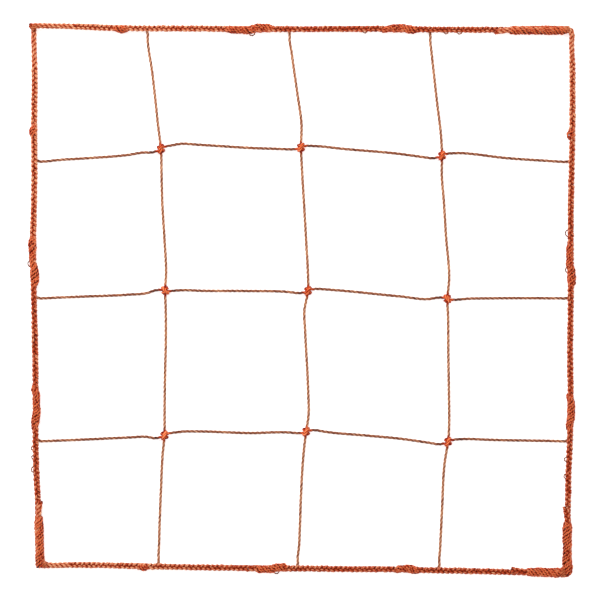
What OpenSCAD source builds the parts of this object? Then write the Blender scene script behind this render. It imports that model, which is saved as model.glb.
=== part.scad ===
// Square knotted net panel, lying flat with its upper face towards +Z.
// Three column twines run along Y. Three row twines run along X and are clove-hitched round each column.
// Both ends of every twine are tucked under a plaited edge cord, and the tail is bound to it from below.
// The four edge cords turn the corners and are bound where they lap.
// Units are millimetres. The origin is under the centre of the panel, on the ground.

/* [Twine] */
// Diameter of the net twine
twine_d = 2.5; // [2.2:0.1:2.6]
// Diameter of the thin lashing and loop twine
lashing_d = 1.2; // [0.8:0.1:1.5]

/* [Edge] */
// Mean diameter of the plaited edge cord
cord_d = 4.4; // [4.0:0.1:4.6]
// Wall of the binding wound over a cord and a tail
binding_wall = 1.4; // [1.0:0.1:1.5]

/* [Finish] */
// Flats round the twine
twine_sides = 8; // [8:1:12]
// Flats round the edge cord
cord_sides = 10; // [8:1:12]

/* [Hidden] */
$fn = 32;

twine_r = twine_d / 2;
cord_r = cord_d / 2;
lashing_r = lashing_d / 2;
// Longest step between rings on a gentle stretch
twine_step = 9;
cord_step = 14;

// Heights of centre lines: a twine on the ground, one rising to a knot, a post inside a knot,
// a cord between twines, a cord on top of a twine, a tail in its binding, and a cord lapped on another
z_bar = 1.3;
z_rise = 2.0;
z_post = 3.9;
z_cord = 3.7;
z_over = 4.8;
z_tail = 2.7;
z_lap = 8.1;
// A cord lies on top of the tail that is bound to it
tail_drop = cord_r + twine_r;
z_bound = z_tail + tail_drop;

// Where each twine is tucked under an edge cord, and where its tail ends, on the cord's centre line
TOP_TUCKS = [[-137.4, 242.1, z_over], [-11.1, 241.5, z_over], [114, 241.2, z_over]];
TOP_TAILS = [[-168, 242.4, z_bound], [-68, 241.6, z_bound], [71, 241.6, z_bound]];
RIGHT_TUCKS = [[239.7, 123.8, z_over], [238.8, 2.3, z_over], [238.1, -124.8, z_over]];
RIGHT_TAILS = [[240.1, 153, z_bound], [238.6, 52, z_bound], [238.5, -83, z_bound]];
BOTTOM_TUCKS = [[-127.7, -236.1, z_over], [-3.9, -237.8, z_over], [122, -239.5, z_over]];
BOTTOM_TAILS = [[-146, -235.6, z_bound], [-41, -237.5, z_bound], [83, -238.5, z_bound]];
LEFT_TUCKS = [[-237.9, 124.1, z_over], [-238.2, 2.4, z_over], [-236.8, -124.7, z_over]];
LEFT_TAILS = [[-238, 156, z_bound], [-238.9, 57, z_bound], [-236.7, -75, z_bound]];

// Gap between each tuck and its binding
TOP_GAPS = [17, 14, 12];
RIGHT_GAPS = [20, 9.5, 9.5];
BOTTOM_GAPS = [9.5, 9.5, 18];
LEFT_GAPS = [22, 10, 9.5];

// Where a cord is lapped on its neighbour, from the outer end of the lap to the corner, and the length
// of each lap that shows before its binding
lap_show = 13;
TOP_LAP = [[172, 240.9, z_cord], [235, 240.9, z_cord]];
RIGHT_LAP = [[236.4, -184, z_cord], [235.9, -242.5, z_cord]];
BOTTOM_LAP = [[187, -241.2, z_cord], [231, -242.2, z_cord]];
LEFT_LAP = [[-234.8, -179, z_cord], [-233.3, -237, z_cord]];

// Knots as [centre, tilt, -1 where the knot is tied the other way up]
KNOTS_TOP = [[[-125.5, 135, z_post], 14, 1], [[-1, 136.3, z_post], 4, 1], [[124.4, 129, z_post], 8, 1]];
KNOTS_MIDDLE = [[[-121.7, 9.2, z_post], 5, -1], [[5.3, 8.8, z_post], 6, 1], [[129.2, 1.9, z_post], 0, -1]];
KNOTS_BOTTOM = [[[-122.3, -119.6, z_post], 10, 1], [[3.6, -116.3, z_post], 2, 1], [[129.8, -125.3, z_post], 8, 1]];

// One clove hitch round a post along Y: in from the left over the front, behind, diagonally over
// the front, behind again, and out to the right under the diagonal
KNOT_TURNS = [
    [-9, -0.9, -1.3], [-5, -1.1, 0.7],
    [-2, -1.2, 2.1], [0, -1.2, 2.4], [1.8, -1.4, 1.8],
    [2.6, -2.1, 0], [1.9, -2.7, -1.8], [0, -2.9, -2.3], [-1.9, -3, -1.8],
    [-2.7, -3, 0.2], [-2, -3, 2.4], [-1.1, -1.9, 4],
    [0, 0, 4.6],
    [1.1, 1.9, 4], [2, 3, 2.4], [2.7, 3, 0.2],
    [1.9, 3, -1.8], [0, 2.9, -2.3], [-1.9, 2.7, -1.8], [-2.6, 2.1, 0],
    [-1.8, 1.4, 1.8], [0, 1.2, 2.4], [2, 1.2, 2.1],
    [5, 1.1, 0.7], [9, 0.9, -1.3]
];

// A tuck under an edge cord, as [along the tail, away from the net]: in from the net, and round under
// the cord to run along it
TUCK_TURN = [[0, -10], [0.1, -3.6], [1.1, -1.1], [3.6, -0.1]];

// Free points of each twine between its tucks and knots
COLUMN_LEFT = [
    [[-136.3, 222, z_bar], [-134, 208, z_bar], [-131, 183, z_bar], [-128, 155, z_rise]],
    [[-125, 112, z_rise], [-124.5, 90, z_bar], [-122.5, 56, z_bar], [-121, 24, z_rise]],
    [[-121.3, -8, z_rise], [-121.2, -35, z_bar], [-122, -70, z_bar], [-122.3, -104, z_rise]],
    [[-123.9, -135, z_rise], [-125.5, -167, z_bar], [-126.8, -200, z_bar], [-127.4, -220, z_bar]]
];
COLUMN_MIDDLE = [
    [[-9.5, 222, z_bar], [-8, 211, z_bar], [-4, 183, z_bar], [-0.5, 156, z_rise]],
    [[-0.3, 120, z_rise], [1.5, 90, z_bar], [3.8, 50, z_bar], [5.2, 24, z_rise]],
    [[2.1, -8, z_rise], [2.8, -28, z_bar], [5.3, -78, z_bar], [5.7, -102, z_rise]],
    [[1.7, -132, z_rise], [-1, -174, z_bar], [-2, -202, z_bar], [-3, -221, z_bar]]
];
COLUMN_RIGHT = [
    [[115, 222, z_bar], [117, 204, z_bar], [120, 177, z_bar], [123.6, 146, z_rise]],
    [[124.2, 113, z_rise], [126, 90, z_bar], [128, 58, z_bar], [130.7, 18, z_rise]],
    [[129.8, -14, z_rise], [130.1, -46, z_bar], [130.7, -88, z_bar], [130.8, -109, z_rise]],
    [[127.2, -141, z_rise], [124.6, -184, z_bar], [123.2, -212, z_bar], [122.6, -223, z_bar]]
];
ROW_TOP = [
    [[-220, 125, z_bar], [-190, 127, z_bar], [-155, 129.8, z_bar], [-140, 132, z_bar]],
    [[-109, 139.6, z_bar], [-91, 138.8, z_bar], [-45, 136, z_bar], [-16, 135, z_bar]],
    [[14, 137.6, z_bar], [34, 135.5, z_bar], [87, 130.7, z_bar], [110, 127.6, z_bar]],
    [[140, 131.5, z_bar], [150, 130.8, z_bar], [178, 127.4, z_bar], [222, 124.3, z_bar]]
];
ROW_MIDDLE = [
    [[-220, 2.8, z_bar], [-190, 4, z_bar], [-155, 5.5, z_bar], [-137, 7.2, z_bar]],
    [[-106, 9.5, z_bar], [-91, 9, z_bar], [-50, 8.8, z_bar], [-11, 7.8, z_bar]],
    [[21, 10.2, z_bar], [34, 9.2, z_bar], [87, 4, z_bar], [114, 1.8, z_bar]],
    [[145, 1.7, z_bar], [166, 2.2, z_bar], [205, 2.4, z_bar], [221, 2.3, z_bar]]
];
ROW_BOTTOM = [
    [[-219, -124.4, z_bar], [-190, -123.2, z_bar], [-155, -121.6, z_bar], [-138, -121, z_bar]],
    [[-106, -116.3, z_bar], [-91, -116.2, z_bar], [-45, -117.6, z_bar], [-13, -117, z_bar]],
    [[19, -116.2, z_bar], [57, -119.8, z_bar], [87, -122.6, z_bar], [114, -126.4, z_bar]],
    [[145, -122.9, z_bar], [166, -123.6, z_bar], [200, -124.3, z_bar], [220, -124.6, z_bar]]
];

// An edge cord's points where it runs over one tail: its far end, its near end and the tuck
function over(i, tucks, tails, gaps) = [tails[i], near(tucks[i], tails[i], gaps[i]), tucks[i]];

// Route of each edge cord, from its start to the end of its lap
CORD_TOP = [
    [-242, 244.1, 7.8], [-236, 244.2, 7.8], [-226, 244.2, 5.6], [-195, 243.7, z_cord],
    each over(0, TOP_TUCKS, TOP_TAILS, TOP_GAPS), [-104, 242.1, z_cord],
    each over(1, TOP_TUCKS, TOP_TAILS, TOP_GAPS), [30, 241.7, z_cord],
    each over(2, TOP_TUCKS, TOP_TAILS, TOP_GAPS), [142, 241.1, z_cord],
    TOP_LAP[0], [231, 240.9, z_cord], [237, 241, 3.2]
];
CORD_RIGHT = [
    [171, 238.4, 7.2], [185, 240.6, z_lap], [226, 240.9, 8.2], [234, 241.4, 8.3],
    [238.3, 240.2, 7.8], [239.6, 236, 6.7], [239.5, 229, 4.7], [240.2, 214, z_cord],
    [240.4, 190, z_cord],
    each over(0, RIGHT_TUCKS, RIGHT_TAILS, RIGHT_GAPS), [239, 88, z_cord],
    each over(1, RIGHT_TUCKS, RIGHT_TAILS, RIGHT_GAPS), [238.3, -46, z_cord],
    each over(2, RIGHT_TUCKS, RIGHT_TAILS, RIGHT_GAPS), [237, -150, z_cord],
    RIGHT_LAP[0], [235.9, -222, z_cord], [235.5, -231, 4.2],
    [234.4, -236.2, 5.6], [231.6, -239.4, 7.2], [226, -241.2, z_lap], [200, -241.2, z_lap],
    [186, -238.8, 7.2]
];
CORD_BOTTOM = [
    [-232.4, -178, 7.2], [-234.2, -192, z_lap], [-233.4, -224, z_lap], [-232.4, -231, 7.6],
    [-229.2, -234.4, 6.2], [-223, -235, 4.4], [-206, -234.8, z_cord], [-178, -235, z_cord],
    each over(0, BOTTOM_TUCKS, BOTTOM_TAILS, BOTTOM_GAPS), [-96, -236.8, z_cord], [-64, -237.3, z_cord],
    each over(1, BOTTOM_TUCKS, BOTTOM_TAILS, BOTTOM_GAPS), [43, -238.5, z_cord],
    each over(2, BOTTOM_TUCKS, BOTTOM_TAILS, BOTTOM_GAPS), [152, -240.2, z_cord],
    BOTTOM_LAP[0], [224, -242.1, z_cord], [232, -242.8, 4.2],
    [236.4, -242.4, 5.3], [237.6, -238.6, 6.8], [236.9, -232.6, z_lap], [236.1, -222, z_lap],
    [236, -197, z_lap], [233.9, -183, 7.2]
];
CORD_LEFT = [
    [-238.6, 245.8, 3.4], [-238.5, 238, 3.4], [-238.3, 226, 3.5], [-237.7, 199, z_cord],
    each over(0, LEFT_TUCKS, LEFT_TAILS, LEFT_GAPS), [-238.2, 90, z_cord],
    each over(1, LEFT_TUCKS, LEFT_TAILS, LEFT_GAPS), [-237.4, -38, z_cord],
    each over(2, LEFT_TUCKS, LEFT_TAILS, LEFT_GAPS), [-236.2, -150, z_cord],
    LEFT_LAP[0], [-233.5, -227, z_cord], [-233.2, -236.6, 3.1]
];

// Lashings as [centre, direction of its axis, half width, half height, turns]
LASHINGS = [
    [[-238, 243.2, 5.6], 135, 3.3, 5, 3],
    [[235.5, 241, 5.7], 0, 2.9, 5.1, 3],
    [[231.6, -241.4, 6], 0, 4, 5, 3],
    [[-228.6, -234.5, 6], -20, 2.8, 2.8, 3]
];

// Slack loops standing off the edge as [x, y, direction it stands in, radius]
LOOPS_TOP = [[-44.5, 238, 270, 2.4], [56, 239.6, 270, 1.6], [128, 239, 270, 1.8], [140, 239, 270, 2]];
LOOPS_RIGHT = [[237, 60, 180, 3], [236.6, 27.5, 180, 2.6], [235.2, -141, 180, 2], [235, -156, 180, 2.2]];
LOOPS_BOTTOM = [[-22.7, -240.2, 270, 2.2]];
LOOPS_LEFT = [[-240.6, 33, 180, 3], [-238.8, -131, 180, 1.8], [-238.4, -139, 180, 1.8], [-238, -150, 180, 2.6]];
loop_z = 4.6;

function unit(v) = v / norm(v);

// Tangent at a route point, weighted so that a short step beside a long one doesn't overshoot,
// and level at a high or low point so that a route never dips below its own points
function slope(p, i) =
    let (last = len(p) - 1, before = max(i - 1, 0), after = min(i + 1, last))
    (i == 0 || i == last) ? unit(p[after] - p[before]) :
    let (back = p[i] - p[before], on = p[after] - p[i], a = norm(back), b = norm(on))
    let (along = (back * b / a + on * a / b) / (a + b))
    back[2] * on[2] > 0 ? along : [along[0], along[1], 0];

// Cubic point at fraction t of the step from point i to the next
function on_curve(p, i, t) =
    let (h = norm(p[i + 1] - p[i]))
    p[i] * (1 - 3 * t * t + 2 * t * t * t) + p[i + 1] * (3 * t * t - 2 * t * t * t)
    + slope(p, i) * h * (t - 2 * t * t + t * t * t) + slope(p, i + 1) * h * (t * t * t - t * t);

// The route with rings no further apart than about one step
function smooth(p, step) = concat(
    [for (i = [0:len(p) - 2])
        let (n = max(1, round(norm(p[i + 1] - p[i]) / step)))
        for (k = [0:n - 1]) on_curve(p, i, k / n)],
    [p[len(p) - 1]]);

function heading(p, i) =
    i == 0 ? unit(p[1] - p[0]) :
    i == len(p) - 1 ? unit(p[i] - p[i - 1]) :
    unit(unit(p[i + 1] - p[i]) + unit(p[i] - p[i - 1]));

function squared(u, t) = unit(u - (u * t) * t);

// One normal for each ring, carried along the route without twisting
function normals(p) = [
    for (i = 0, u = squared([0.3, 0.2, 1], heading(p, 0));
        i < len(p);
        i = i + 1, u = squared(u, heading(p, min(i, len(p) - 1)))) u];

// A closed round tube of radius r along the points p
module tube(p, r, sides) {
    n = len(p);
    u = normals(p);
    rings = [for (i = [0:n - 1])
        let (v = cross(heading(p, i), u[i]))
        for (k = [0:sides - 1])
            p[i] + r * (cos(360 * k / sides) * u[i] + sin(360 * k / sides) * v)];
    walls = [for (i = [0:n - 2], k = [0:sides - 1])
        let (a = i * sides + k, b = i * sides + (k + 1) % sides)
        each [[a, a + sides, b + sides], [a, b + sides, b]]];
    start_cap = [for (k = [0:sides - 1]) k];
    end_cap = [for (k = [sides - 1:-1:0]) (n - 1) * sides + k];
    polyhedron(points = rings, faces = concat(walls, [start_cap, end_cap]), convexity = 10);
}

// A knot turned by its tilt and set on its centre
function knot(k) = [for (q = KNOT_TURNS)
    let (x = q[0], y = q[1] * k[2])
    k[0] + [x * cos(k[1]) - y * sin(k[1]), x * sin(k[1]) + y * cos(k[1]), q[2]]];

function at_height(p, z) = [p[0], p[1], z];

// Where the binding of the tail from c to far begins, gap from c
function near(c, far, gap) = at_height(c + gap * unit(at_height(far - c, 0)), far[2]);

// A twine's end tucked under the cord at c, with its tail ending at far; out points away from the net
function tuck(c, far, gap, out) =
    let (along = unit(at_height(far - c, 0)), start = near(c, far, gap))
    concat([for (q = TUCK_TURN) at_height(c + q[0] * along + q[1] * out, z_bar)],
        [for (p = [start, (start + far) / 2, far]) at_height(p, z_tail)]);

function reversed(p) = [for (i = [len(p) - 1:-1:0]) p[i]];

// The whole route of a column, from its tail at the top to its tail at the bottom
function column(i, free) = concat(
    reversed(tuck(TOP_TUCKS[i], TOP_TAILS[i], TOP_GAPS[i], [0, 1, 0])),
    free[0], [KNOTS_TOP[i][0]], free[1], [KNOTS_MIDDLE[i][0]], free[2], [KNOTS_BOTTOM[i][0]], free[3],
    tuck(BOTTOM_TUCKS[i], BOTTOM_TAILS[i], BOTTOM_GAPS[i], [0, -1, 0]));

// The whole route of a row, from its tail on the left to its tail on the right
function row(i, free, knots) = concat(
    reversed(tuck(LEFT_TUCKS[i], LEFT_TAILS[i], LEFT_GAPS[i], [-1, 0, 0])),
    free[0], knot(knots[0]), free[1], knot(knots[1]), free[2], knot(knots[2]), free[3],
    tuck(RIGHT_TUCKS[i], RIGHT_TAILS[i], RIGHT_GAPS[i], [1, 0, 0]));

module twine(p) {
    color("orangered") tube(smooth(p, twine_step), twine_r, twine_sides);
}

module edge_cord(p) {
    color("tomato") tube(smooth(p, cord_step), cord_r, cord_sides);
}

// Two round sections one above the other, joined by a web
module stacked(lower_r, upper_r, lift, web) {
    circle(r = lower_r);
    translate([0, lift]) circle(r = upper_r);
    translate([-web / 2, 0]) square([web, lift]);
}

// Lays a section drawn in XY along the line from a to b, with its Y axis up
module laid_between(a, b) {
    run = b - a;
    flat = norm([run[0], run[1]]);
    translate(a)
        rotate([0, -atan2(run[2], flat), atan2(run[1], run[0])])
            rotate([90, 0, 90])
                linear_extrude(height = norm(run)) children();
}

// Binding wound over the cord and the twine tail under it
module tail_binding(c, far, gap) {
    color("coral") laid_between(at_height(far, z_tail), at_height(near(c, far, gap), z_tail)) difference() {
        stacked(twine_r + binding_wall, cord_r + binding_wall, tail_drop, 2 * twine_r + binding_wall);
        stacked(twine_r, cord_r, tail_drop, twine_r);
    }
}

// Binding wound over two edge cords where one is lapped on the other; the end of the lap shows
module corner_binding(lap) {
    start = lap[0] + lap_show * unit(lap[1] - lap[0]);
    color("coral") laid_between(start, lap[1]) difference() {
        stacked(cord_r + binding_wall, cord_r + binding_wall, cord_d, cord_d + 2 * binding_wall);
        stacked(cord_r, cord_r, cord_d, cord_r);
    }
}

// Turns of thin twine round a crossing, advancing by its own diameter each turn
module lashing(l) {
    ax = [cos(l[1]), sin(l[1]), 0];
    side = [-sin(l[1]), cos(l[1]), 0];
    steps = 10 * l[4];
    color("darkorange") tube([for (k = [0:steps])
        l[0] + l[2] * cos(36 * k) * side + [0, 0, l[3] * sin(36 * k)]
        + ax * lashing_d * (k - steps / 2) / 10], lashing_r, 8);
}

// Half rings of slack twine standing off the edge
module slack_loops(loops) {
    color("sienna") for (l = loops)
        translate([l[0], l[1], loop_z])
            rotate([0, 0, l[2] - 90])
                rotate_extrude(angle = 180) translate([l[3], 0]) circle(r = lashing_r);
}

twine(column(0, COLUMN_LEFT));  // column_twine_left
twine(column(1, COLUMN_MIDDLE));  // column_twine_middle
twine(column(2, COLUMN_RIGHT));  // column_twine_right
twine(row(0, ROW_TOP, KNOTS_TOP));  // row_twine_top
twine(row(1, ROW_MIDDLE, KNOTS_MIDDLE));  // row_twine_middle
twine(row(2, ROW_BOTTOM, KNOTS_BOTTOM));  // row_twine_bottom
edge_cord(CORD_TOP);  // edge_cord_top
edge_cord(CORD_RIGHT);  // edge_cord_right
edge_cord(CORD_BOTTOM);  // edge_cord_bottom
edge_cord(CORD_LEFT);  // edge_cord_left
for (i = [0:2]) {
    tail_binding(TOP_TUCKS[i], TOP_TAILS[i], TOP_GAPS[i]);
    tail_binding(RIGHT_TUCKS[i], RIGHT_TAILS[i], RIGHT_GAPS[i]);
    tail_binding(BOTTOM_TUCKS[i], BOTTOM_TAILS[i], BOTTOM_GAPS[i]);
    tail_binding(LEFT_TUCKS[i], LEFT_TAILS[i], LEFT_GAPS[i]);
}
corner_binding(TOP_LAP);  // corner_binding_top
corner_binding(RIGHT_LAP);  // corner_binding_right
corner_binding(BOTTOM_LAP);  // corner_binding_bottom
corner_binding(LEFT_LAP);  // corner_binding_left
lashing(LASHINGS[0]);  // lashing_top_left
lashing(LASHINGS[1]);  // lashing_top_right
lashing(LASHINGS[2]);  // lashing_bottom_right
lashing(LASHINGS[3]);  // lashing_bottom_left
slack_loops(LOOPS_TOP);  // slack_loops_top
slack_loops(LOOPS_RIGHT);  // slack_loops_right
slack_loops(LOOPS_BOTTOM);  // slack_loops_bottom
slack_loops(LOOPS_LEFT);  // slack_loops_left
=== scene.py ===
"""Square knotted net panel, laid flat: the looks of its twines, plaited edge cords, bindings and lashings.

Each twine is three strands laid up right-handed, and each edge cord is a plait of three strands, each of
three yarns. The bindings are strands wound round a cord and what is bound to it. All of it follows the
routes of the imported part, in metres, with +Z up.
"""

import math

import bpy
import numpy as np
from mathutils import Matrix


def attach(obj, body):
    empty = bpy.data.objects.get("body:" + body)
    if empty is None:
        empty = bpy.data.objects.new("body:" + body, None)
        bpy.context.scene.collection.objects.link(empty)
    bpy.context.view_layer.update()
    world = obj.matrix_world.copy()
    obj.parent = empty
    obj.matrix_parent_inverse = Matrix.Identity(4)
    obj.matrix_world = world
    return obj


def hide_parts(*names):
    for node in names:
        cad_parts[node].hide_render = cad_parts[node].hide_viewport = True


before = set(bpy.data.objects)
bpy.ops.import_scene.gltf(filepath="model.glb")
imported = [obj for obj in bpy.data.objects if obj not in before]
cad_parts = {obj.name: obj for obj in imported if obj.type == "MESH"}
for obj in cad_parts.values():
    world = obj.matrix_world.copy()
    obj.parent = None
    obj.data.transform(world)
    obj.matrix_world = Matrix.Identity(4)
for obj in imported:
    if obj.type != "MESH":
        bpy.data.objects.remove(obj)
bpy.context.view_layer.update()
rng = np.random.default_rng(7)

# ---------------------------------------------------------------- sizes

TWINE_D = 0.0025
CORD_D = 0.0044
BINDING_WALL = 0.0014
LASHING_D = 0.0012

# Net twine: three strands, and the length in which one strand goes once round
STRAND_R = 0.0007
STRAND_OFFSET = 0.00066
TWINE_LAY = 0.0125

# A knot: how far its turns are drawn in when it is pulled tight, how far they reach from its centre, where
# the open twine begins, and between which distances the darkening of the twine beside it gives out
KNOT_DRAW = 0.12
KNOT_REACH = 0.0045
KNOT_END = 0.0065
DARKENING_FROM = 0.008
DARKENING_TO = 0.016

# Plaited cord: half the sideways and upward swing of a strand's middle, and one full weave
PLAIT_SWING = 0.00174
PLAIT_RISE = 0.001
PLAIT_CYCLE = 0.0127
TWIST_OFFSET = 0.00138
YARN_R = 0.00073
YARN_OFFSET = 0.00067
YARN_LAY = 0.0072

# The length in which a twisted cord turns into a plaited one, and the stretch along which it loses its
# freshness
TWIST_END = 0.006
FADE_FROM = 0.1
FADE_TO = 0.28

# Wound binding: six strands side by side, each of two yarns, the length of one turn, how unevenly the
# strands lie in radians, and how far they stand out or in
WRAPS = 6
WRAP_LAY = 0.0176
WRAP_YARN_R = 0.0006
WRAP_YARN_OFFSET = 0.00046
WRAP_YARN_LAY = 0.0062
WRAP_SWAY = 0.13
WRAP_LUMP = 0.00018

# Tail bindings: how much lower the top and how much higher the bottom is where an end closes on the cord,
# and how lumpy the sides are
TAIL_TOP_CLOSE = 0.001
TAIL_BOTTOM_CLOSE = 0.0012
TAIL_LUMP = 0.00022

# Corner bindings: half width, how much less that and the half height are at an end, how long an end is, how
# far inwards they lean, and how lumpy the sides are
CORNER_HALF_WIDTH = 0.0043
CORNER_SIDE_CLOSE = 0.0006
CORNER_TOP_CLOSE = 0.001
CORNER_END = 0.004
CORNER_LEAN = 0.0006
CORNER_LUMP = 0.0002

# Two-strand twine of the lashings and of the slack loops
LASH_STRAND_R = 0.00031
LASH_STRAND_OFFSET = 0.0003
LOOP_STRAND_R = 0.00034
LOOP_STRAND_OFFSET = 0.00031
THIN_LAY = 0.0042

TWINE_RING = 0.0008
CORD_RING = 0.0006
WRAP_RING = 0.00036

# Heights of centre lines: a twine on the ground, one rising to a knot, a post inside a knot, a cord
# between twines, a cord on top of a twine, a tail in its binding, a cord bound to it, and a lapped cord
Z_BAR = 0.0013
Z_RISE = 0.002
Z_POST = 0.0039
Z_CORD = 0.0037
Z_OVER = 0.0048
Z_TAIL = 0.0027
Z_BOUND = 0.00615
Z_LAP = 0.0081

UP = np.array((0.0, 0.0, 1.0))


def unit(v):
    return v / np.linalg.norm(v, axis=-1, keepdims=True)


# ---------------------------------------------------------------- camera

VIEW_CENTRE = (-0.0018, 0.0007)
VIEW_WIDTH = 0.534
CAMERA_HEIGHT = 3.0


def add_camera():
    """A long lens straight above the panel, with the top edge up."""
    data = bpy.data.cameras.new("camera")
    data.sensor_width = 36.0
    data.lens = data.sensor_width * CAMERA_HEIGHT / VIEW_WIDTH
    data.clip_end = 20.0
    camera = bpy.data.objects.new("camera", data)
    camera.location = (*VIEW_CENTRE, CAMERA_HEIGHT)
    bpy.context.scene.collection.objects.link(camera)
    bpy.context.scene.camera = camera


add_camera()

# ---------------------------------------------------------------- routes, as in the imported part

TOP_TUCKS = ((-0.1374, 0.2421, Z_OVER), (-0.0111, 0.2415, Z_OVER), (0.114, 0.2412, Z_OVER))
TOP_TAILS = ((-0.168, 0.2424, Z_BOUND), (-0.068, 0.2416, Z_BOUND), (0.071, 0.2416, Z_BOUND))
RIGHT_TUCKS = ((0.2397, 0.1238, Z_OVER), (0.2388, 0.0023, Z_OVER), (0.2381, -0.1248, Z_OVER))
RIGHT_TAILS = ((0.2401, 0.153, Z_BOUND), (0.2386, 0.052, Z_BOUND), (0.2385, -0.083, Z_BOUND))
BOTTOM_TUCKS = ((-0.1277, -0.2361, Z_OVER), (-0.0039, -0.2378, Z_OVER), (0.122, -0.2395, Z_OVER))
BOTTOM_TAILS = ((-0.146, -0.2356, Z_BOUND), (-0.041, -0.2375, Z_BOUND), (0.083, -0.2385, Z_BOUND))
LEFT_TUCKS = ((-0.2379, 0.1241, Z_OVER), (-0.2382, 0.0024, Z_OVER), (-0.2368, -0.1247, Z_OVER))
LEFT_TAILS = ((-0.238, 0.156, Z_BOUND), (-0.2389, 0.057, Z_BOUND), (-0.2367, -0.075, Z_BOUND))
TOP_GAPS = (0.017, 0.014, 0.012)
RIGHT_GAPS = (0.02, 0.0095, 0.0095)
BOTTOM_GAPS = (0.0095, 0.0095, 0.018)
LEFT_GAPS = (0.022, 0.01, 0.0095)
TOP_LAP = ((0.172, 0.2409, Z_CORD), (0.235, 0.2409, Z_CORD))
RIGHT_LAP = ((0.2364, -0.184, Z_CORD), (0.2359, -0.2425, Z_CORD))
BOTTOM_LAP = ((0.187, -0.2412, Z_CORD), (0.231, -0.2422, Z_CORD))
LEFT_LAP = ((-0.2348, -0.179, Z_CORD), (-0.2333, -0.237, Z_CORD))
LAP_SHOW = 0.013

# Knots as (centre, tilt in degrees, -1 where the knot is tied the other way up)
KNOTS_TOP = (
    ((-0.1255, 0.135, Z_POST), 14, 1), ((-0.001, 0.1363, Z_POST), 4, 1), ((0.1244, 0.129, Z_POST), 8, 1)
)
KNOTS_MIDDLE = (
    ((-0.1217, 0.0092, Z_POST), 5, -1), ((0.0053, 0.0088, Z_POST), 6, 1), ((0.1292, 0.0019, Z_POST), 0, -1)
)
KNOTS_BOTTOM = (
    ((-0.1223, -0.1196, Z_POST), 10, 1), ((0.0036, -0.1163, Z_POST), 2, 1),
    ((0.1298, -0.1253, Z_POST), 8, 1),
)

# One clove hitch round a post along Y, from left to right
KNOT_TURNS = (
    (-0.009, -0.0009, -0.0013), (-0.005, -0.0011, 0.0007),
    (-0.002, -0.0012, 0.0021), (0, -0.0012, 0.0024), (0.0018, -0.0014, 0.0018),
    (0.0026, -0.0021, 0), (0.0019, -0.0027, -0.0018), (0, -0.0029, -0.0023), (-0.0019, -0.003, -0.0018),
    (-0.0027, -0.003, 0.0002), (-0.002, -0.003, 0.0024), (-0.0011, -0.0019, 0.004),
    (0, 0, 0.0046),
    (0.0011, 0.0019, 0.004), (0.002, 0.003, 0.0024), (0.0027, 0.003, 0.0002),
    (0.0019, 0.003, -0.0018), (0, 0.0029, -0.0023), (-0.0019, 0.0027, -0.0018), (-0.0026, 0.0021, 0),
    (-0.0018, 0.0014, 0.0018), (0, 0.0012, 0.0024), (0.002, 0.0012, 0.0021),
    (0.005, 0.0011, 0.0007), (0.009, 0.0009, -0.0013),
)

# A tuck under an edge cord, as (along the tail, away from the net)
TUCK_TURN = ((0, -0.01), (0.0001, -0.0036), (0.0011, -0.0011), (0.0036, -0.0001))

# Free points of each twine between its tucks and knots
COLUMN_LEFT = (
    ((-0.1363, 0.222, Z_BAR), (-0.134, 0.208, Z_BAR), (-0.131, 0.183, Z_BAR), (-0.128, 0.155, Z_RISE)),
    ((-0.125, 0.112, Z_RISE), (-0.1245, 0.09, Z_BAR), (-0.1225, 0.056, Z_BAR), (-0.121, 0.024, Z_RISE)),
    ((-0.1213, -0.008, Z_RISE), (-0.1212, -0.035, Z_BAR), (-0.122, -0.07, Z_BAR), (-0.1223, -0.104, Z_RISE)),
    ((-0.1239, -0.135, Z_RISE), (-0.1255, -0.167, Z_BAR), (-0.1268, -0.2, Z_BAR), (-0.1274, -0.22, Z_BAR)),
)
COLUMN_MIDDLE = (
    ((-0.0095, 0.222, Z_BAR), (-0.008, 0.211, Z_BAR), (-0.004, 0.183, Z_BAR), (-0.0005, 0.156, Z_RISE)),
    ((-0.0003, 0.12, Z_RISE), (0.0015, 0.09, Z_BAR), (0.0038, 0.05, Z_BAR), (0.0052, 0.024, Z_RISE)),
    ((0.0021, -0.008, Z_RISE), (0.0028, -0.028, Z_BAR), (0.0053, -0.078, Z_BAR), (0.0057, -0.102, Z_RISE)),
    ((0.0017, -0.132, Z_RISE), (-0.001, -0.174, Z_BAR), (-0.002, -0.202, Z_BAR), (-0.003, -0.221, Z_BAR)),
)
COLUMN_RIGHT = (
    ((0.115, 0.222, Z_BAR), (0.117, 0.204, Z_BAR), (0.12, 0.177, Z_BAR), (0.1236, 0.146, Z_RISE)),
    ((0.1242, 0.113, Z_RISE), (0.126, 0.09, Z_BAR), (0.128, 0.058, Z_BAR), (0.1307, 0.018, Z_RISE)),
    ((0.1298, -0.014, Z_RISE), (0.1301, -0.046, Z_BAR), (0.1307, -0.088, Z_BAR), (0.1308, -0.109, Z_RISE)),
    ((0.1272, -0.141, Z_RISE), (0.1246, -0.184, Z_BAR), (0.1232, -0.212, Z_BAR), (0.1226, -0.223, Z_BAR)),
)
ROW_TOP = (
    ((-0.22, 0.125, Z_BAR), (-0.19, 0.127, Z_BAR), (-0.155, 0.1298, Z_BAR), (-0.14, 0.132, Z_BAR)),
    ((-0.109, 0.1396, Z_BAR), (-0.091, 0.1388, Z_BAR), (-0.045, 0.136, Z_BAR), (-0.016, 0.135, Z_BAR)),
    ((0.014, 0.1376, Z_BAR), (0.034, 0.1355, Z_BAR), (0.087, 0.1307, Z_BAR), (0.11, 0.1276, Z_BAR)),
    ((0.14, 0.1315, Z_BAR), (0.15, 0.1308, Z_BAR), (0.178, 0.1274, Z_BAR), (0.222, 0.1243, Z_BAR)),
)
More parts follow.
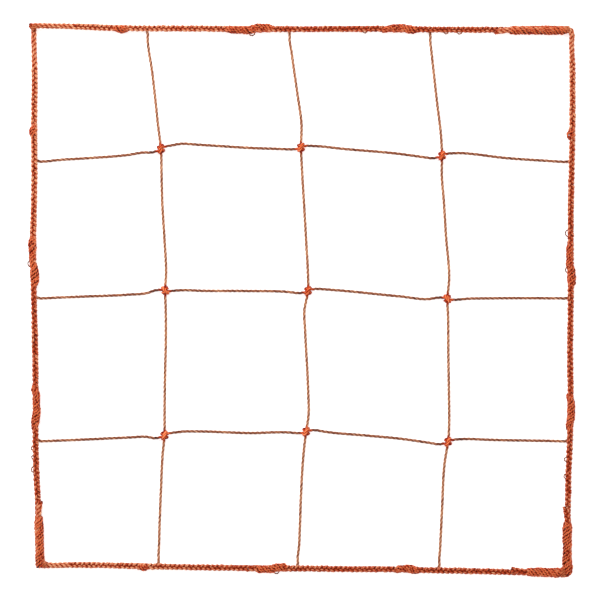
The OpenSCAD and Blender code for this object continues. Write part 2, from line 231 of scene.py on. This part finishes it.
ROW_MIDDLE = (
    ((-0.22, 0.0028, Z_BAR), (-0.19, 0.004, Z_BAR), (-0.155, 0.0055, Z_BAR), (-0.137, 0.0072, Z_BAR)),
    ((-0.106, 0.0095, Z_BAR), (-0.091, 0.009, Z_BAR), (-0.05, 0.0088, Z_BAR), (-0.011, 0.0078, Z_BAR)),
    ((0.021, 0.0102, Z_BAR), (0.034, 0.0092, Z_BAR), (0.087, 0.004, Z_BAR), (0.114, 0.0018, Z_BAR)),
    ((0.145, 0.0017, Z_BAR), (0.166, 0.0022, Z_BAR), (0.205, 0.0024, Z_BAR), (0.221, 0.0023, Z_BAR)),
)
ROW_BOTTOM = (
    ((-0.219, -0.1244, Z_BAR), (-0.19, -0.1232, Z_BAR), (-0.155, -0.1216, Z_BAR), (-0.138, -0.121, Z_BAR)),
    ((-0.106, -0.1163, Z_BAR), (-0.091, -0.1162, Z_BAR), (-0.045, -0.1176, Z_BAR), (-0.013, -0.117, Z_BAR)),
    ((0.019, -0.1162, Z_BAR), (0.057, -0.1198, Z_BAR), (0.087, -0.1226, Z_BAR), (0.114, -0.1264, Z_BAR)),
    ((0.145, -0.1229, Z_BAR), (0.166, -0.1236, Z_BAR), (0.2, -0.1243, Z_BAR), (0.22, -0.1246, Z_BAR)),
)


def at_height(p, z):
    return np.array((p[0], p[1], z))


def near(c, far, gap):
    """Where the binding of the tail from c to far begins, gap from c."""
    return at_height(np.array(c) + gap * unit(at_height(np.subtract(far, c), 0)), far[2])


def over(i, tucks, tails, gaps):
    """An edge cord's points where it runs over one tail: its far end, its near end and the tuck."""
    return tails[i], near(tucks[i], tails[i], gaps[i]), tucks[i]


# Route of each edge cord, from its start to the end of its lap
CORD_TOP = (
    (-0.242, 0.2441, 0.0078), (-0.236, 0.2442, 0.0078), (-0.226, 0.2442, 0.0056), (-0.195, 0.2437, Z_CORD),
    *over(0, TOP_TUCKS, TOP_TAILS, TOP_GAPS), (-0.104, 0.2421, Z_CORD),
    *over(1, TOP_TUCKS, TOP_TAILS, TOP_GAPS), (0.03, 0.2417, Z_CORD),
    *over(2, TOP_TUCKS, TOP_TAILS, TOP_GAPS), (0.142, 0.2411, Z_CORD),
    TOP_LAP[0], (0.231, 0.2409, Z_CORD), (0.237, 0.241, 0.0032),
)
CORD_RIGHT = (
    (0.171, 0.2384, 0.0072), (0.185, 0.2406, Z_LAP), (0.226, 0.2409, 0.0082), (0.234, 0.2414, 0.0083),
    (0.2383, 0.2402, 0.0078), (0.2396, 0.236, 0.0067), (0.2395, 0.229, 0.0047), (0.2402, 0.214, Z_CORD),
    (0.2404, 0.19, Z_CORD),
    *over(0, RIGHT_TUCKS, RIGHT_TAILS, RIGHT_GAPS), (0.239, 0.088, Z_CORD),
    *over(1, RIGHT_TUCKS, RIGHT_TAILS, RIGHT_GAPS), (0.2383, -0.046, Z_CORD),
    *over(2, RIGHT_TUCKS, RIGHT_TAILS, RIGHT_GAPS), (0.237, -0.15, Z_CORD),
    RIGHT_LAP[0], (0.2359, -0.222, Z_CORD), (0.2355, -0.231, 0.0042),
    (0.2344, -0.2362, 0.0056), (0.2316, -0.2394, 0.0072), (0.226, -0.2412, Z_LAP), (0.2, -0.2412, Z_LAP),
    (0.186, -0.2388, 0.0072),
)
CORD_BOTTOM = (
    (-0.2324, -0.178, 0.0072), (-0.2342, -0.192, Z_LAP), (-0.2334, -0.224, Z_LAP), (-0.2324, -0.231, 0.0076),
    (-0.2292, -0.2344, 0.0062), (-0.223, -0.235, 0.0044), (-0.206, -0.2348, Z_CORD),
    (-0.178, -0.235, Z_CORD),
    *over(0, BOTTOM_TUCKS, BOTTOM_TAILS, BOTTOM_GAPS),
    (-0.096, -0.2368, Z_CORD), (-0.064, -0.2373, Z_CORD),
    *over(1, BOTTOM_TUCKS, BOTTOM_TAILS, BOTTOM_GAPS), (0.043, -0.2385, Z_CORD),
    *over(2, BOTTOM_TUCKS, BOTTOM_TAILS, BOTTOM_GAPS), (0.152, -0.2402, Z_CORD),
    BOTTOM_LAP[0], (0.224, -0.2421, Z_CORD), (0.232, -0.2428, 0.0042),
    (0.2364, -0.2424, 0.0053), (0.2376, -0.2386, 0.0068), (0.2369, -0.2326, Z_LAP), (0.2361, -0.222, Z_LAP),
    (0.236, -0.197, Z_LAP), (0.2339, -0.183, 0.0072),
)
CORD_LEFT = (
    (-0.2386, 0.2458, 0.0034), (-0.2385, 0.238, 0.0034), (-0.2383, 0.226, 0.0035), (-0.2377, 0.199, Z_CORD),
    *over(0, LEFT_TUCKS, LEFT_TAILS, LEFT_GAPS), (-0.2382, 0.09, Z_CORD),
    *over(1, LEFT_TUCKS, LEFT_TAILS, LEFT_GAPS), (-0.2374, -0.038, Z_CORD),
    *over(2, LEFT_TUCKS, LEFT_TAILS, LEFT_GAPS), (-0.2362, -0.15, Z_CORD),
    LEFT_LAP[0], (-0.2335, -0.227, Z_CORD), (-0.2332, -0.2366, 0.0031),
)

# Lashings as (name, centre, direction of the axis in degrees, half width, half height, turns)
LASHINGS = (
    ("top_left", (-0.238, 0.2432, 0.0056), 135, 0.0033, 0.005, 3),
    ("top_right", (0.2355, 0.241, 0.0057), 0, 0.0029, 0.0051, 3),
    ("bottom_right", (0.2316, -0.2414, 0.006), 0, 0.004, 0.005, 3),
    ("bottom_left", (-0.2286, -0.2345, 0.006), -20, 0.0028, 0.0028, 3),
)

# Slack loops standing off the edge as (x, y, direction it stands in, radius)
LOOPS = {
    "top": ((-0.0445, 0.238, 270, 0.0024), (0.056, 0.2396, 270, 0.0016), (0.128, 0.239, 270, 0.0018),
            (0.14, 0.239, 270, 0.002)),
    "right": ((0.237, 0.06, 180, 0.003), (0.2366, 0.0275, 180, 0.0026), (0.2352, -0.141, 180, 0.002),
              (0.235, -0.156, 180, 0.0022)),
    "bottom": ((-0.0227, -0.2402, 270, 0.0022),),
    "left": ((-0.2406, 0.033, 180, 0.003), (-0.2388, -0.131, 180, 0.0018), (-0.2384, -0.139, 180, 0.0018),
             (-0.238, -0.15, 180, 0.0026)),
}
LOOP_Z = 0.0046

# ---------------------------------------------------------------- lines


def slopes(p):
    """Tangents at a route's points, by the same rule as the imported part."""
    found = [unit(p[1] - p[0])]
    for before, here, after in zip(p[:-2], p[1:-1], p[2:]):
        back, on = here - before, after - here
        a, b = np.linalg.norm(back), np.linalg.norm(on)
        along = (back * b / a + on * a / b) / (a + b)
        if back[2] * on[2] <= 0:
            along[2] = 0
        found.append(along)
    return np.array(found + [unit(p[-1] - p[-2])])


def distances(line):
    return np.concatenate([[0], np.cumsum(np.linalg.norm(np.diff(line, axis=0), axis=1))])


def spaced(line, step):
    """The line again, with its points one step apart."""
    along = distances(line)
    at = np.linspace(0, along[-1], math.ceil(along[-1] / step) + 1)
    return np.stack([np.interp(at, along, line[:, axis]) for axis in range(3)], axis=1)


def smooth(points, step):
    """A smooth line through a route's points."""
    p = np.array(points, float)
    m = slopes(p)
    t = np.linspace(0, 1, 60, endpoint=False)[:, None]
    runs = []
    for i in range(len(p) - 1):
        h = np.linalg.norm(p[i + 1] - p[i])
        runs.append(
            p[i] * (1 - 3 * t**2 + 2 * t**3) + p[i + 1] * (3 * t**2 - 2 * t**3)
            + m[i] * h * (t - 2 * t**2 + t**3) + m[i + 1] * h * (t**3 - t**2)
        )
    return spaced(np.concatenate(runs + [p[-1:]]), step)


def tangents(line):
    return unit(np.gradient(line, axis=0))


def carried(line):
    """Two directions across the line that it carries along without twisting."""
    t = tangents(line)
    u = np.empty_like(t)
    last = np.array((0.3, 0.2, 1.0))
    for i, heading in enumerate(t):
        last = unit(last - last.dot(heading) * heading)
        u[i] = last
    return u, np.cross(t, u)


def levelled(line):
    """The directions up and sideways across a line that never stands upright."""
    t = tangents(line)
    side = unit(np.cross(t, UP))
    return np.cross(side, t), side


def eased(x, low, high):
    """0 below low, 1 above high and smooth between them."""
    t = np.clip((x - low) / (high - low), 0, 1)
    return t * t * (3 - 2 * t)


def wander(count, spacing, size):
    """A slow seeded wander about zero, one value for each point, with a new direction every few points."""
    knots = rng.normal(0, size, count // spacing + 3)
    return np.interp(np.arange(count) / spacing, np.arange(len(knots)), knots)


# ---------------------------------------------------------------- strands to meshes


def swept(line, out, radius, sides):
    """A closed round strand along the line. out points from the ring's middle to its first corner."""
    t = tangents(line)
    u = unit(out - (out * t).sum(1, keepdims=True) * t)
    v = np.cross(t, u)
    a = 2 * np.pi * np.arange(sides) / sides
    return line[:, None] + radius * (np.cos(a)[:, None] * u[:, None] + np.sin(a)[:, None] * v[:, None])


def proud(rings, line, up, side, width, height, deep):
    """How far each point stands out of an oval rope: 0 down in its grooves, which end at the share deep of
    the rope's half width, and 1 on its crests."""
    off = rings - line[:, None]
    over_side = (off * side[:, None]).sum(2) / np.reshape(width, (-1, 1))
    over_up = (off * up[:, None]).sum(2) / np.reshape(height, (-1, 1))
    return eased(np.hypot(over_side, over_up), deep, 1)


def piece(name, strands, material, nodes, vivid=0.0):
    """Makes one mesh of many strands, each as (rings, how lit and fresh each point is: painted shade and
    tone).

    The UV map has the lay: round the strand, and along it in metres. vivid says how little each ring of
    every strand has faded.
    """
    points, faces, uvs, lit_and_fresh_values, vividness, start = [], [], [], [], [], 0
    for number, (rings, lit_and_fresh) in enumerate(strands):
        count, sides = rings.shape[:2]
        along = distances(rings.mean(1))
        index = start + np.arange(count * sides).reshape(count, sides)
        nearer, further = index[:-1], index[1:]
        walls = np.stack([nearer, np.roll(nearer, -1, 1), np.roll(further, -1, 1), further], axis=2)
        faces += walls.reshape(-1, 4).tolist() + [index[0, ::-1].tolist(), index[-1].tolist()]
        round_it = number + np.arange(sides + 1) / sides
        u = np.stack([round_it[:-1], round_it[1:], round_it[1:], round_it[:-1]], axis=1)
        v = np.stack([along[:-1], along[:-1], along[1:], along[1:]], axis=1)
        uv = np.stack(np.broadcast_arrays(u[None], v[:, None]), axis=3)
        caps = [(number + 0.5, along[end]) for end in (0, -1) for _ in range(sides)]
        uvs += [uv.reshape(-1, 2), np.array(caps)]
        points.append(rings.reshape(-1, 3))
        lit_and_fresh_values.append(lit_and_fresh.ravel())
        vividness.append(np.broadcast_to(np.reshape(vivid, (-1, 1)), (count, sides)).ravel())
        start += count * sides
    mesh = bpy.data.meshes.new(name)
    mesh.from_pydata(np.concatenate(points).tolist(), [], faces)
    mesh.uv_layers.new(name="lay").data.foreach_set("uv", np.concatenate(uvs).ravel())
    # The first attribute is painted light and tone: dark as painted shade in grooves and under knot turns,
    # paler on crests
    for label, values in (("lit_and_fresh", lit_and_fresh_values), ("vivid", vividness)):
        mesh.attributes.new(label, "FLOAT", "POINT").data.foreach_set("value", np.concatenate(values))
    mesh.polygons.foreach_set("use_smooth", [True] * len(mesh.polygons))
    mesh.materials.append(material)
    made = bpy.data.objects.new(name, mesh)
    bpy.context.scene.collection.objects.link(made)
    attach(made, "root")
    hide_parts(*nodes)
    return made


def laid(line, radius, offset, lay, sides, strands=3, turn=0.0, fresh=1.0):
    """Strands laid up round the line, right-handed where lay is above zero. Their grooves are painted darker
    as shade and their crests paler, and fresh scales that as their tone."""
    u, v = carried(line)
    s = distances(line)[:, None]
    made = []
    for k in range(strands):
        a = 2 * np.pi * (s / lay + k / strands) + turn
        out = np.cos(a) * u + np.sin(a) * v
        rings = swept(line + offset * out, out, radius, sides)
        # Painted shade: points down between the strands are darker, points on the crests paler
        lit_and_fresh = proud(rings, line, u, v, offset + radius, offset + radius, 0.5)
        made.append((rings, lit_and_fresh * fresh))
    return made


# ---------------------------------------------------------------- materials


def srgb(text):
    """A hex colour as the linear values that a shader takes."""
    parts = [int(text[i:i + 2], 16) / 255 for i in (1, 3, 5)]
    return [c / 12.92 if c <= 0.04045 else ((c + 0.055) / 1.055) ** 2.4 for c in parts] + [1.0]


def node(tree, kind, settings=None, values=None, links=None):
    """Adds a node, sets its properties and inputs, and links its inputs."""
    made = tree.nodes.new(kind)
    for name, value in (settings or {}).items():
        setattr(made, name, value)
    for name, value in (values or {}).items():
        made.inputs[name].default_value = value
    for name, output in (links or {}).items():
        tree.links.new(output, made.inputs[name])
    return made


def polyethylene(name, groove_shade_colour, plain, fresh, drift_mm, roughness, groove_shading=0.8):
    """Polyethylene twine: drawn from fine waxy filaments, so it has fine streaks along each strand, a soft
    gloss, and a colour that drifts from strand to strand and along each one. The grooves get a dark painted
    shade and the crests a paler colour, and the last parameter is how strongly."""
    material = bpy.data.materials.new(name)
    material.use_nodes = True
    tree = material.node_tree
    shader = tree.nodes["Principled BSDF"]
    lay = node(tree, "ShaderNodeUVMap", {"uv_map": "lay"}).outputs["UV"]
    # About 14 filaments show round one strand, and each runs some 2.5 mm between flecks
    streaks = node(
        tree, "ShaderNodeMapping", values={"Scale": (14.0, 400.0, 1.0)}, links={"Vector": lay}
    )
    filaments = node(
        tree, "ShaderNodeTexNoise", {"noise_dimensions": "2D"}, {"Scale": 1.0, "Detail": 2.0},
        {"Vector": streaks.outputs["Vector"]},
    )
    # The dye drifts along each strand
    stretch = node(
        tree, "ShaderNodeMapping", values={"Scale": (3.7, 1000 / drift_mm, 1.0)}, links={"Vector": lay}
    )
    drift = node(
        tree, "ShaderNodeTexNoise", {"noise_dimensions": "2D"}, {"Scale": 1.0, "Detail": 1.0},
        {"Vector": stretch.outputs["Vector"]},
    )
    lit_and_fresh = node(tree, "ShaderNodeAttribute", {"attribute_name": "lit_and_fresh"}).outputs["Fac"]
    # How lit and fresh it is, with its painted groove shade, plus the drift and the filaments about their
    # means
    drifted = node(
        tree, "ShaderNodeMath", {"operation": "MULTIPLY_ADD"}, {1: 1.3, 2: -0.42 - groove_shading / 2},
        {0: drift.outputs[0]},
    )
    flecked = node(
        tree, "ShaderNodeMath", {"operation": "MULTIPLY_ADD"}, {1: 0.5},
        {0: filaments.outputs[0], 2: drifted.outputs[0]},
    )
    tone = node(
        tree, "ShaderNodeMath", {"operation": "MULTIPLY_ADD"}, {1: groove_shading},
        {0: lit_and_fresh, 2: flecked.outputs[0]},
    )
    # The ramp runs from the dark painted shade of the grooves through the plain colour to the paler crests
    ramp = node(tree, "ShaderNodeValToRGB", links={0: tone.outputs[0]})
    ramp.color_ramp.elements[0].position = 0.05
    ramp.color_ramp.elements[0].color = srgb(groove_shade_colour)
    ramp.color_ramp.elements[1].position = 0.95
    ramp.color_ramp.elements[1].color = srgb(fresh)
    ramp.color_ramp.elements.new(0.5).color = srgb(plain)
    bump = node(
        tree, "ShaderNodeBump", values={"Strength": 0.5, "Distance": 0.00012},
        links={"Height": filaments.outputs[0]},
    )
    # Faded twine is duller than twine inside a knot
    vivid = node(tree, "ShaderNodeAttribute", {"attribute_name": "vivid"}).outputs["Fac"]
    redder = node(tree, "ShaderNodeMath", {"operation": "MULTIPLY_ADD"}, {1: -0.02, 2: 0.5}, {0: vivid})
    stronger = node(tree, "ShaderNodeMath", {"operation": "MULTIPLY_ADD"}, {1: 0.22, 2: 1.0}, {0: vivid})
    brighter = node(tree, "ShaderNodeMath", {"operation": "MULTIPLY_ADD"}, {1: 0.65, 2: 1.0}, {0: vivid})
    colour = node(
        tree, "ShaderNodeHueSaturation",
        links={
            "Hue": redder.outputs[0], "Saturation": stronger.outputs[0], "Value": brighter.outputs[0],
            "Color": ramp.outputs["Color"],
        },
    )
    tree.links.new(colour.outputs["Color"], shader.inputs["Base Color"])
    tree.links.new(bump.outputs["Normal"], shader.inputs["Normal"])
    shader.inputs["Roughness"].default_value = roughness
    shader.inputs["IOR"].default_value = 1.5
    shader.inputs["Specular IOR Level"].default_value = 0.14
    return material


# Thin weathered twine: its orange has faded to a pinkish tan
NET_TWINE = polyethylene("faded_orange_polyethylene_net_twine", "#42201A", "#8E4E34", "#C8906C", 13, 0.55)
# Plaited cord, less faded: a clear orange, with dark red painted as shade down between its yarns
EDGE_CORD = polyethylene("orange_polyethylene_plaited_cord", "#560C00", "#B43A0E", "#DE9E76", 9, 0.5)
# Twine wound tight: the deepest red-orange, with the strongest painted shade in its grooves
BINDING = polyethylene("orange_polyethylene_binding_twine", "#4C0800", "#A01C00", "#D46A3E", 7, 0.5, 1.1)
# Thin lashing twine of the same stuff as the cords
LASHING = polyethylene("orange_polyethylene_lashing_twine", "#661A04", "#BC4414", "#E48E62", 5, 0.5)
# Slack turns of thin twine, heavily soiled: dull and brownish
SLACK = polyethylene("olive_brown_slack_twine", "#3A1E0A", "#A4501E", "#D8925A", 11, 0.6)

# ---------------------------------------------------------------- net twines


def knotted(knot):
    """A knot's turns, turned by its tilt and set on its centre."""
    centre, tilt, side_up = knot
    c, s = math.cos(math.radians(tilt)), math.sin(math.radians(tilt))
    turned = [(x * c - y * side_up * s, x * s + y * side_up * c, z) for x, y, z in KNOT_TURNS]
    return [tuple(np.add(centre, q)) for q in turned]


def tucked(i, tucks, tails, gaps, out):
    """A twine's end tucked under an edge cord, with its tail lying under the cord to its end."""
    c, far, start = np.array(tucks[i]), np.array(tails[i]), near(tucks[i], tails[i], gaps[i])
    along = unit(at_height(far - c, 0))
    turn = [at_height(c + q[0] * along + q[1] * np.array(out), Z_BAR) for q in TUCK_TURN]
    return turn + [at_height(q, Z_TAIL) for q in (start, (start + far) / 2, far)]


def column_route(i, free):
    posts = [[knots[i][0]] for knots in (KNOTS_TOP, KNOTS_MIDDLE, KNOTS_BOTTOM)] + [[]]
    middle = [q for run, post in zip(free, posts) for q in (*run, *post)]
    start = tucked(i, TOP_TUCKS, TOP_TAILS, TOP_GAPS, (0, 1, 0))[::-1]
    return start + middle + tucked(i, BOTTOM_TUCKS, BOTTOM_TAILS, BOTTOM_GAPS, (0, -1, 0))


def row_route(i, free, knots):
    turns = [knotted(k) for k in knots] + [[]]
    middle = [q for run, turn in zip(free, turns) for q in (*run, *turn)]
    start = tucked(i, LEFT_TUCKS, LEFT_TAILS, LEFT_GAPS, (-1, 0, 0))[::-1]
    return start + middle + tucked(i, RIGHT_TUCKS, RIGHT_TAILS, RIGHT_GAPS, (1, 0, 0))


def pulled_tight(line):
    """The line drawn in where it is inside a knot, with how far it is inside one and how near to one."""
    centres = np.array([knot[0] for knots in (KNOTS_TOP, KNOTS_MIDDLE, KNOTS_BOTTOM) for knot in knots])
    offsets = line[:, None] - centres
    gaps = np.linalg.norm(offsets, axis=2)
    nearest = gaps.argmin(1)
    gap = gaps.min(1)
    inside = 1 - eased(gap, KNOT_REACH, KNOT_END)
    drawn = offsets[np.arange(len(line)), nearest] * inside[:, None] * KNOT_DRAW
    return line - drawn, inside, 1 - eased(gap, DARKENING_FROM, DARKENING_TO)


def net_twine(name, route, turn, fresh, knot_side_darkening):
    """One three-strand twine on its route, knots and tails included. It has faded outside its knots, whose
    lower turns are painted darker as shade under the turns above, and the last parameter is how much darker
    it is beside them."""
    line, inside, beside = pulled_tight(smooth(route, TWINE_RING))
    uppermost = eased(line[:, 2], Z_POST - 0.0006, Z_POST + 0.0034)
    # Painted shade: inside a knot the lower turns are darker than its top; outside, the twine's tone is
    # darker beside knots
    lit_and_fresh = inside * (0.4 + 0.6 * uppermost) + (1 - inside) * fresh * (1 - knot_side_darkening * beside)
    strands = laid(line, STRAND_R, STRAND_OFFSET, TWINE_LAY, 8, turn=turn, fresh=lit_and_fresh[:, None])
    made = piece(name + "_strands", strands, NET_TWINE, [name], inside)


def net_twines():
    """The columns are paler than the rows, which are darker beside their knots."""
    columns = (("left", COLUMN_LEFT), ("middle", COLUMN_MIDDLE), ("right", COLUMN_RIGHT))
    for i, (place, free) in enumerate(columns):
        net_twine("column_twine_" + place, column_route(i, free), 0.7 * i, 1.0, 0.0)
    rows = (
        ("top", ROW_TOP, KNOTS_TOP), ("middle", ROW_MIDDLE, KNOTS_MIDDLE),
        ("bottom", ROW_BOTTOM, KNOTS_BOTTOM),
    )
    for i, (place, free, knots) in enumerate(rows):
        net_twine("row_twine_" + place, row_route(i, free, knots), 0.4 + 0.9 * i, 0.7, 0.45)


# ---------------------------------------------------------------- edge cords


def plaited(line, twisted, fresh):
    """Three strands of three yarns: plaited, or only twisted where twisted is 1."""
    up, side = levelled(line)
    s = distances(line)
    width = PLAIT_SWING * (1 - twisted) + TWIST_OFFSET * twisted
    height = PLAIT_RISE * (1 - twisted) + TWIST_OFFSET * twisted
    strand_r = YARN_R + YARN_OFFSET
    made = []
    for k in range(3):
        a = 2 * np.pi * (s / PLAIT_CYCLE + k / 3)
        across = width * np.sin(a) * (1 + wander(len(line), 10, 0.09))
        rise = PLAIT_RISE * (1 - twisted) * np.sin(2 * a) + TWIST_OFFSET * twisted * np.cos(a)
        middle = line + across[:, None] * side + rise[:, None] * up
        t = tangents(middle)
        u = unit(up - (up * t).sum(1, keepdims=True) * t)
        v = np.cross(t, u)
        for yarn in range(3):
            b = -2 * np.pi * (distances(middle) / YARN_LAY + yarn / 3)[:, None]
            out = np.cos(b) * u + np.sin(b) * v
            rings = swept(middle + YARN_OFFSET * out, out, YARN_R, 6)
            # Painted shade: points down between the yarns and strands are darker, the crests paler
            lit_and_fresh = proud(rings, line, up, side, width + strand_r, height + strand_r, 0.45)
            made.append((rings, lit_and_fresh * fresh[:, None]))
    return made


def edge_cord(name, route, twisted_to):
    """One edge cord, only twisted up to twisted_to along it and then plaited. It is freshest near its
    start, but its cut end is soiled."""
    line = smooth(route, CORD_RING)
    s = distances(line)
    twisted = 1 - eased(s, twisted_to, twisted_to + TWIST_END)
    fresh = (1 - 0.3 * eased(s, FADE_FROM, FADE_TO)) * (0.4 + 0.6 * eased(s, 0.001, 0.004))
    made = piece(name + "_plait", plaited(line, twisted, fresh), EDGE_CORD, [name])


def edge_cords():
    edge_cord("edge_cord_top", CORD_TOP, 0.038)
    edge_cord("edge_cord_right", CORD_RIGHT, 0.09)
    edge_cord("edge_cord_bottom", CORD_BOTTOM, 0.08)
    edge_cord("edge_cord_left", CORD_LEFT, 0.036)


# ---------------------------------------------------------------- bindings


def wound(middle, width, height):
    """Strands wound right-handed round an oval of the given half width and height along its middles."""
    up, side = levelled(middle)
    s = distances(middle)
    strand_r = WRAP_YARN_R + WRAP_YARN_OFFSET
    made = []
    for k in range(WRAPS):
        a = 2 * np.pi * (s / WRAP_LAY + k / WRAPS) + wander(len(s), 12, WRAP_SWAY)
        lift = wander(len(s), 8, WRAP_LUMP) - strand_r
        line = (
            middle + ((height + lift) * np.cos(a))[:, None] * up
            + ((width + lift) * np.sin(a))[:, None] * side
        )
        # A strand that passes under the cord lies on the ground
        line[:, 2] = np.maximum(line[:, 2], strand_r)
        for rings, _ in laid(line, WRAP_YARN_R, WRAP_YARN_OFFSET, -WRAP_YARN_LAY, 6, strands=2):
            # Painted shade: the wound yarns are darker down between the turns, paler on their crests
            made.append((rings, proud(rings, middle, up, side, width, height, 0.7)))
    return made


# Shapes of the tail bindings, as (share of the length, shift to the cord's right, half width). The tail
# lies on one side of the cord and then crosses to the other, so the binding's outline does too.
TAIL_SHAPES = (
    ((0, 0, 0.0027), (0.25, 0.0004, 0.0034), (0.6, 0.0013, 0.0040), (0.85, 0.0008, 0.0034),
     (1, 0, 0.0025)),
    ((0, 0, 0.0027), (0.1, 0.0008, 0.0036), (0.5, 0.0009, 0.0038), (0.62, -0.0006, 0.0037),
     (0.72, -0.0008, 0.0043), (0.9, -0.0008, 0.0040), (1, 0, 0.0025)),
    ((0, 0.0009, 0.0028), (0.1, 0.0006, 0.0034), (0.22, -0.0007, 0.0036), (0.62, -0.0008, 0.0038),
     (0.8, 0.0003, 0.0039), (0.93, 0.0009, 0.0033), (1, 0.0006, 0.0024)),
)


def tail_binding(name, start, end, shape):
    """A binding from start to end, low where its ends close on the cord."""
    line = spaced(np.stack([at_height(start, 0), at_height(end, 0)]), WRAP_RING)
    share = distances(line) / distances(line)[-1]
    at, shift, width = np.array(shape).T
    closed = 1 - eased(share, 0, 0.2) * (1 - eased(share, 0.82, 1))
    top = Z_BOUND + CORD_D / 2 + BINDING_WALL - TAIL_TOP_CLOSE * closed
    bottom = Z_TAIL - TWINE_D / 2 - BINDING_WALL + TAIL_BOTTOM_CLOSE * closed
    side = levelled(line)[1]
    middle = line + ((top + bottom) / 2)[:, None] * UP + np.interp(share, at, shift)[:, None] * side
    lumpy = np.interp(share, at, width) + wander(len(share), 10, TAIL_LUMP)
    strands = wound(middle, lumpy, (top - bottom) / 2)
    piece(name + "_wraps", strands, BINDING, [name])


def tail_bindings():
    sides = (
        ("top", TOP_TUCKS, TOP_TAILS, TOP_GAPS), ("right", RIGHT_TUCKS, RIGHT_TAILS, RIGHT_GAPS),
        ("bottom", BOTTOM_TUCKS, BOTTOM_TAILS, BOTTOM_GAPS), ("left", LEFT_TUCKS, LEFT_TAILS, LEFT_GAPS),
    )
    for place, tucks, tails, gaps in sides:
        for i, shape in enumerate(TAIL_SHAPES):
            start, end = tails[i], near(tucks[i], tails[i], gaps[i])
            tail_binding(f"tail_binding_{place}_{i + 1}", start, end, shape)


def corner_bindings():
    """The upper cord leans a little inwards, so each binding does too."""
    laps = (
        ("top", TOP_LAP, (0, -1, 0)), ("right", RIGHT_LAP, (-1, 0, 0)),
        ("bottom", BOTTOM_LAP, (0, 1, 0)), ("left", LEFT_LAP, (1, 0, 0)),
    )
    for place, lap, inward in laps:
        start, end = np.array(lap) + CORNER_LEAN * np.array(inward)
        line = spaced(np.stack([start + LAP_SHOW * unit(end - start), end]), WRAP_RING)
        s = distances(line)
        closed = 1 - eased(s, 0, CORNER_END) * (1 - eased(s, s[-1] - CORNER_END, s[-1]))
        width = CORNER_HALF_WIDTH - CORNER_SIDE_CLOSE * closed + wander(len(s), 14, CORNER_LUMP)
        height = CORD_D + BINDING_WALL - CORNER_TOP_CLOSE * closed
        strands = wound(line + CORD_D / 2 * UP, width, height)
        name = "corner_binding_" + place
        piece(name + "_wraps", strands, BINDING, [name])


# ---------------------------------------------------------------- lashings and loops


def lashings():
    """Turns of thin two-strand twine round each corner, each turn beside the last."""
    for place, centre, direction, half_width, half_height, turns in LASHINGS:
        a = np.linspace(0, 2 * np.pi * turns, 90 * turns)[:, None]
        c, s = math.cos(math.radians(direction)), math.sin(math.radians(direction))
        axis, side = np.array((c, s, 0)), np.array((-s, c, 0))
        line = (
            np.array(centre) + half_width * np.cos(a) * side + half_height * np.sin(a) * UP
            + axis * LASHING_D * (a / (2 * np.pi) - turns / 2)
        )
        name = "lashing_" + place
        strands = laid(line, LASH_STRAND_R, LASH_STRAND_OFFSET, THIN_LAY, 6, strands=2)
        piece(name + "_turns", strands, LASHING, [name])


def slack_loops():
    """Thin loops that stand off the edge, their feet tucked into the cord."""
    for place, loops in LOOPS.items():
        strands = []
        for x, y, direction, radius in loops:
            a = np.radians(np.linspace(direction - 115, direction + 115, 40))[:, None]
            foot = np.abs(np.linspace(-1, 1, 40))[:, None] ** 3
            line = np.hstack([x + radius * np.cos(a), y + radius * np.sin(a), LOOP_Z - 0.0012 * foot])
            strands += laid(line, LOOP_STRAND_R, LOOP_STRAND_OFFSET, THIN_LAY, 6, strands=2, fresh=0.3)
        name = "slack_loops_" + place
        piece(name + "_strands", strands, SLACK, [name])


# ---------------------------------------------------------------- studio

FLOOR_SIZE = 30
FLOOR_Z = -0.0002


def add_floor():
    """A pale table top, lit a little from below as a light table is, so that shadows stay faint."""
    bpy.ops.mesh.primitive_plane_add(size=FLOOR_SIZE, location=(0, 0, FLOOR_Z))
    floor = bpy.context.object
    floor.name = "floor"
    material = bpy.data.materials.new("white_acrylic_light_table")
    material.use_nodes = True
    shader = material.node_tree.nodes["Principled BSDF"]
    shader.inputs["Base Color"].default_value = srgb("#F4F4F4")
    shader.inputs["Roughness"].default_value = 0.9
    shader.inputs["Emission Color"].default_value = (1, 1, 1, 1)
    shader.inputs["Emission Strength"].default_value = 0.55
    floor.data.materials.append(material)


def add_light(name, place, size, power):
    data = bpy.data.lights.new(name, "AREA")
    data.size = size
    data.energy = power
    light = bpy.data.objects.new(name, data)
    light.location = place
    light.rotation_euler = (-light.location).to_track_quat("-Z", "Y").to_euler()
    bpy.context.scene.collection.objects.link(light)


def add_studio():
    world = bpy.data.worlds.new("soft_room")
    world.use_nodes = True
    world.node_tree.nodes["Background"].inputs["Color"].default_value = (1, 1, 1, 1)
    world.node_tree.nodes["Background"].inputs["Strength"].default_value = 0.5
    bpy.context.scene.world = world
    add_light("key", (-0.7, 0.9, 1.5), 0.9, 32)
    add_light("fill", (1.1, -0.6, 1.4), 1.4, 9)
    bpy.context.scene.view_settings.view_transform = "Standard"


net_twines()
edge_cords()
tail_bindings()
corner_bindings()
lashings()
slack_loops()
add_floor()
add_studio()
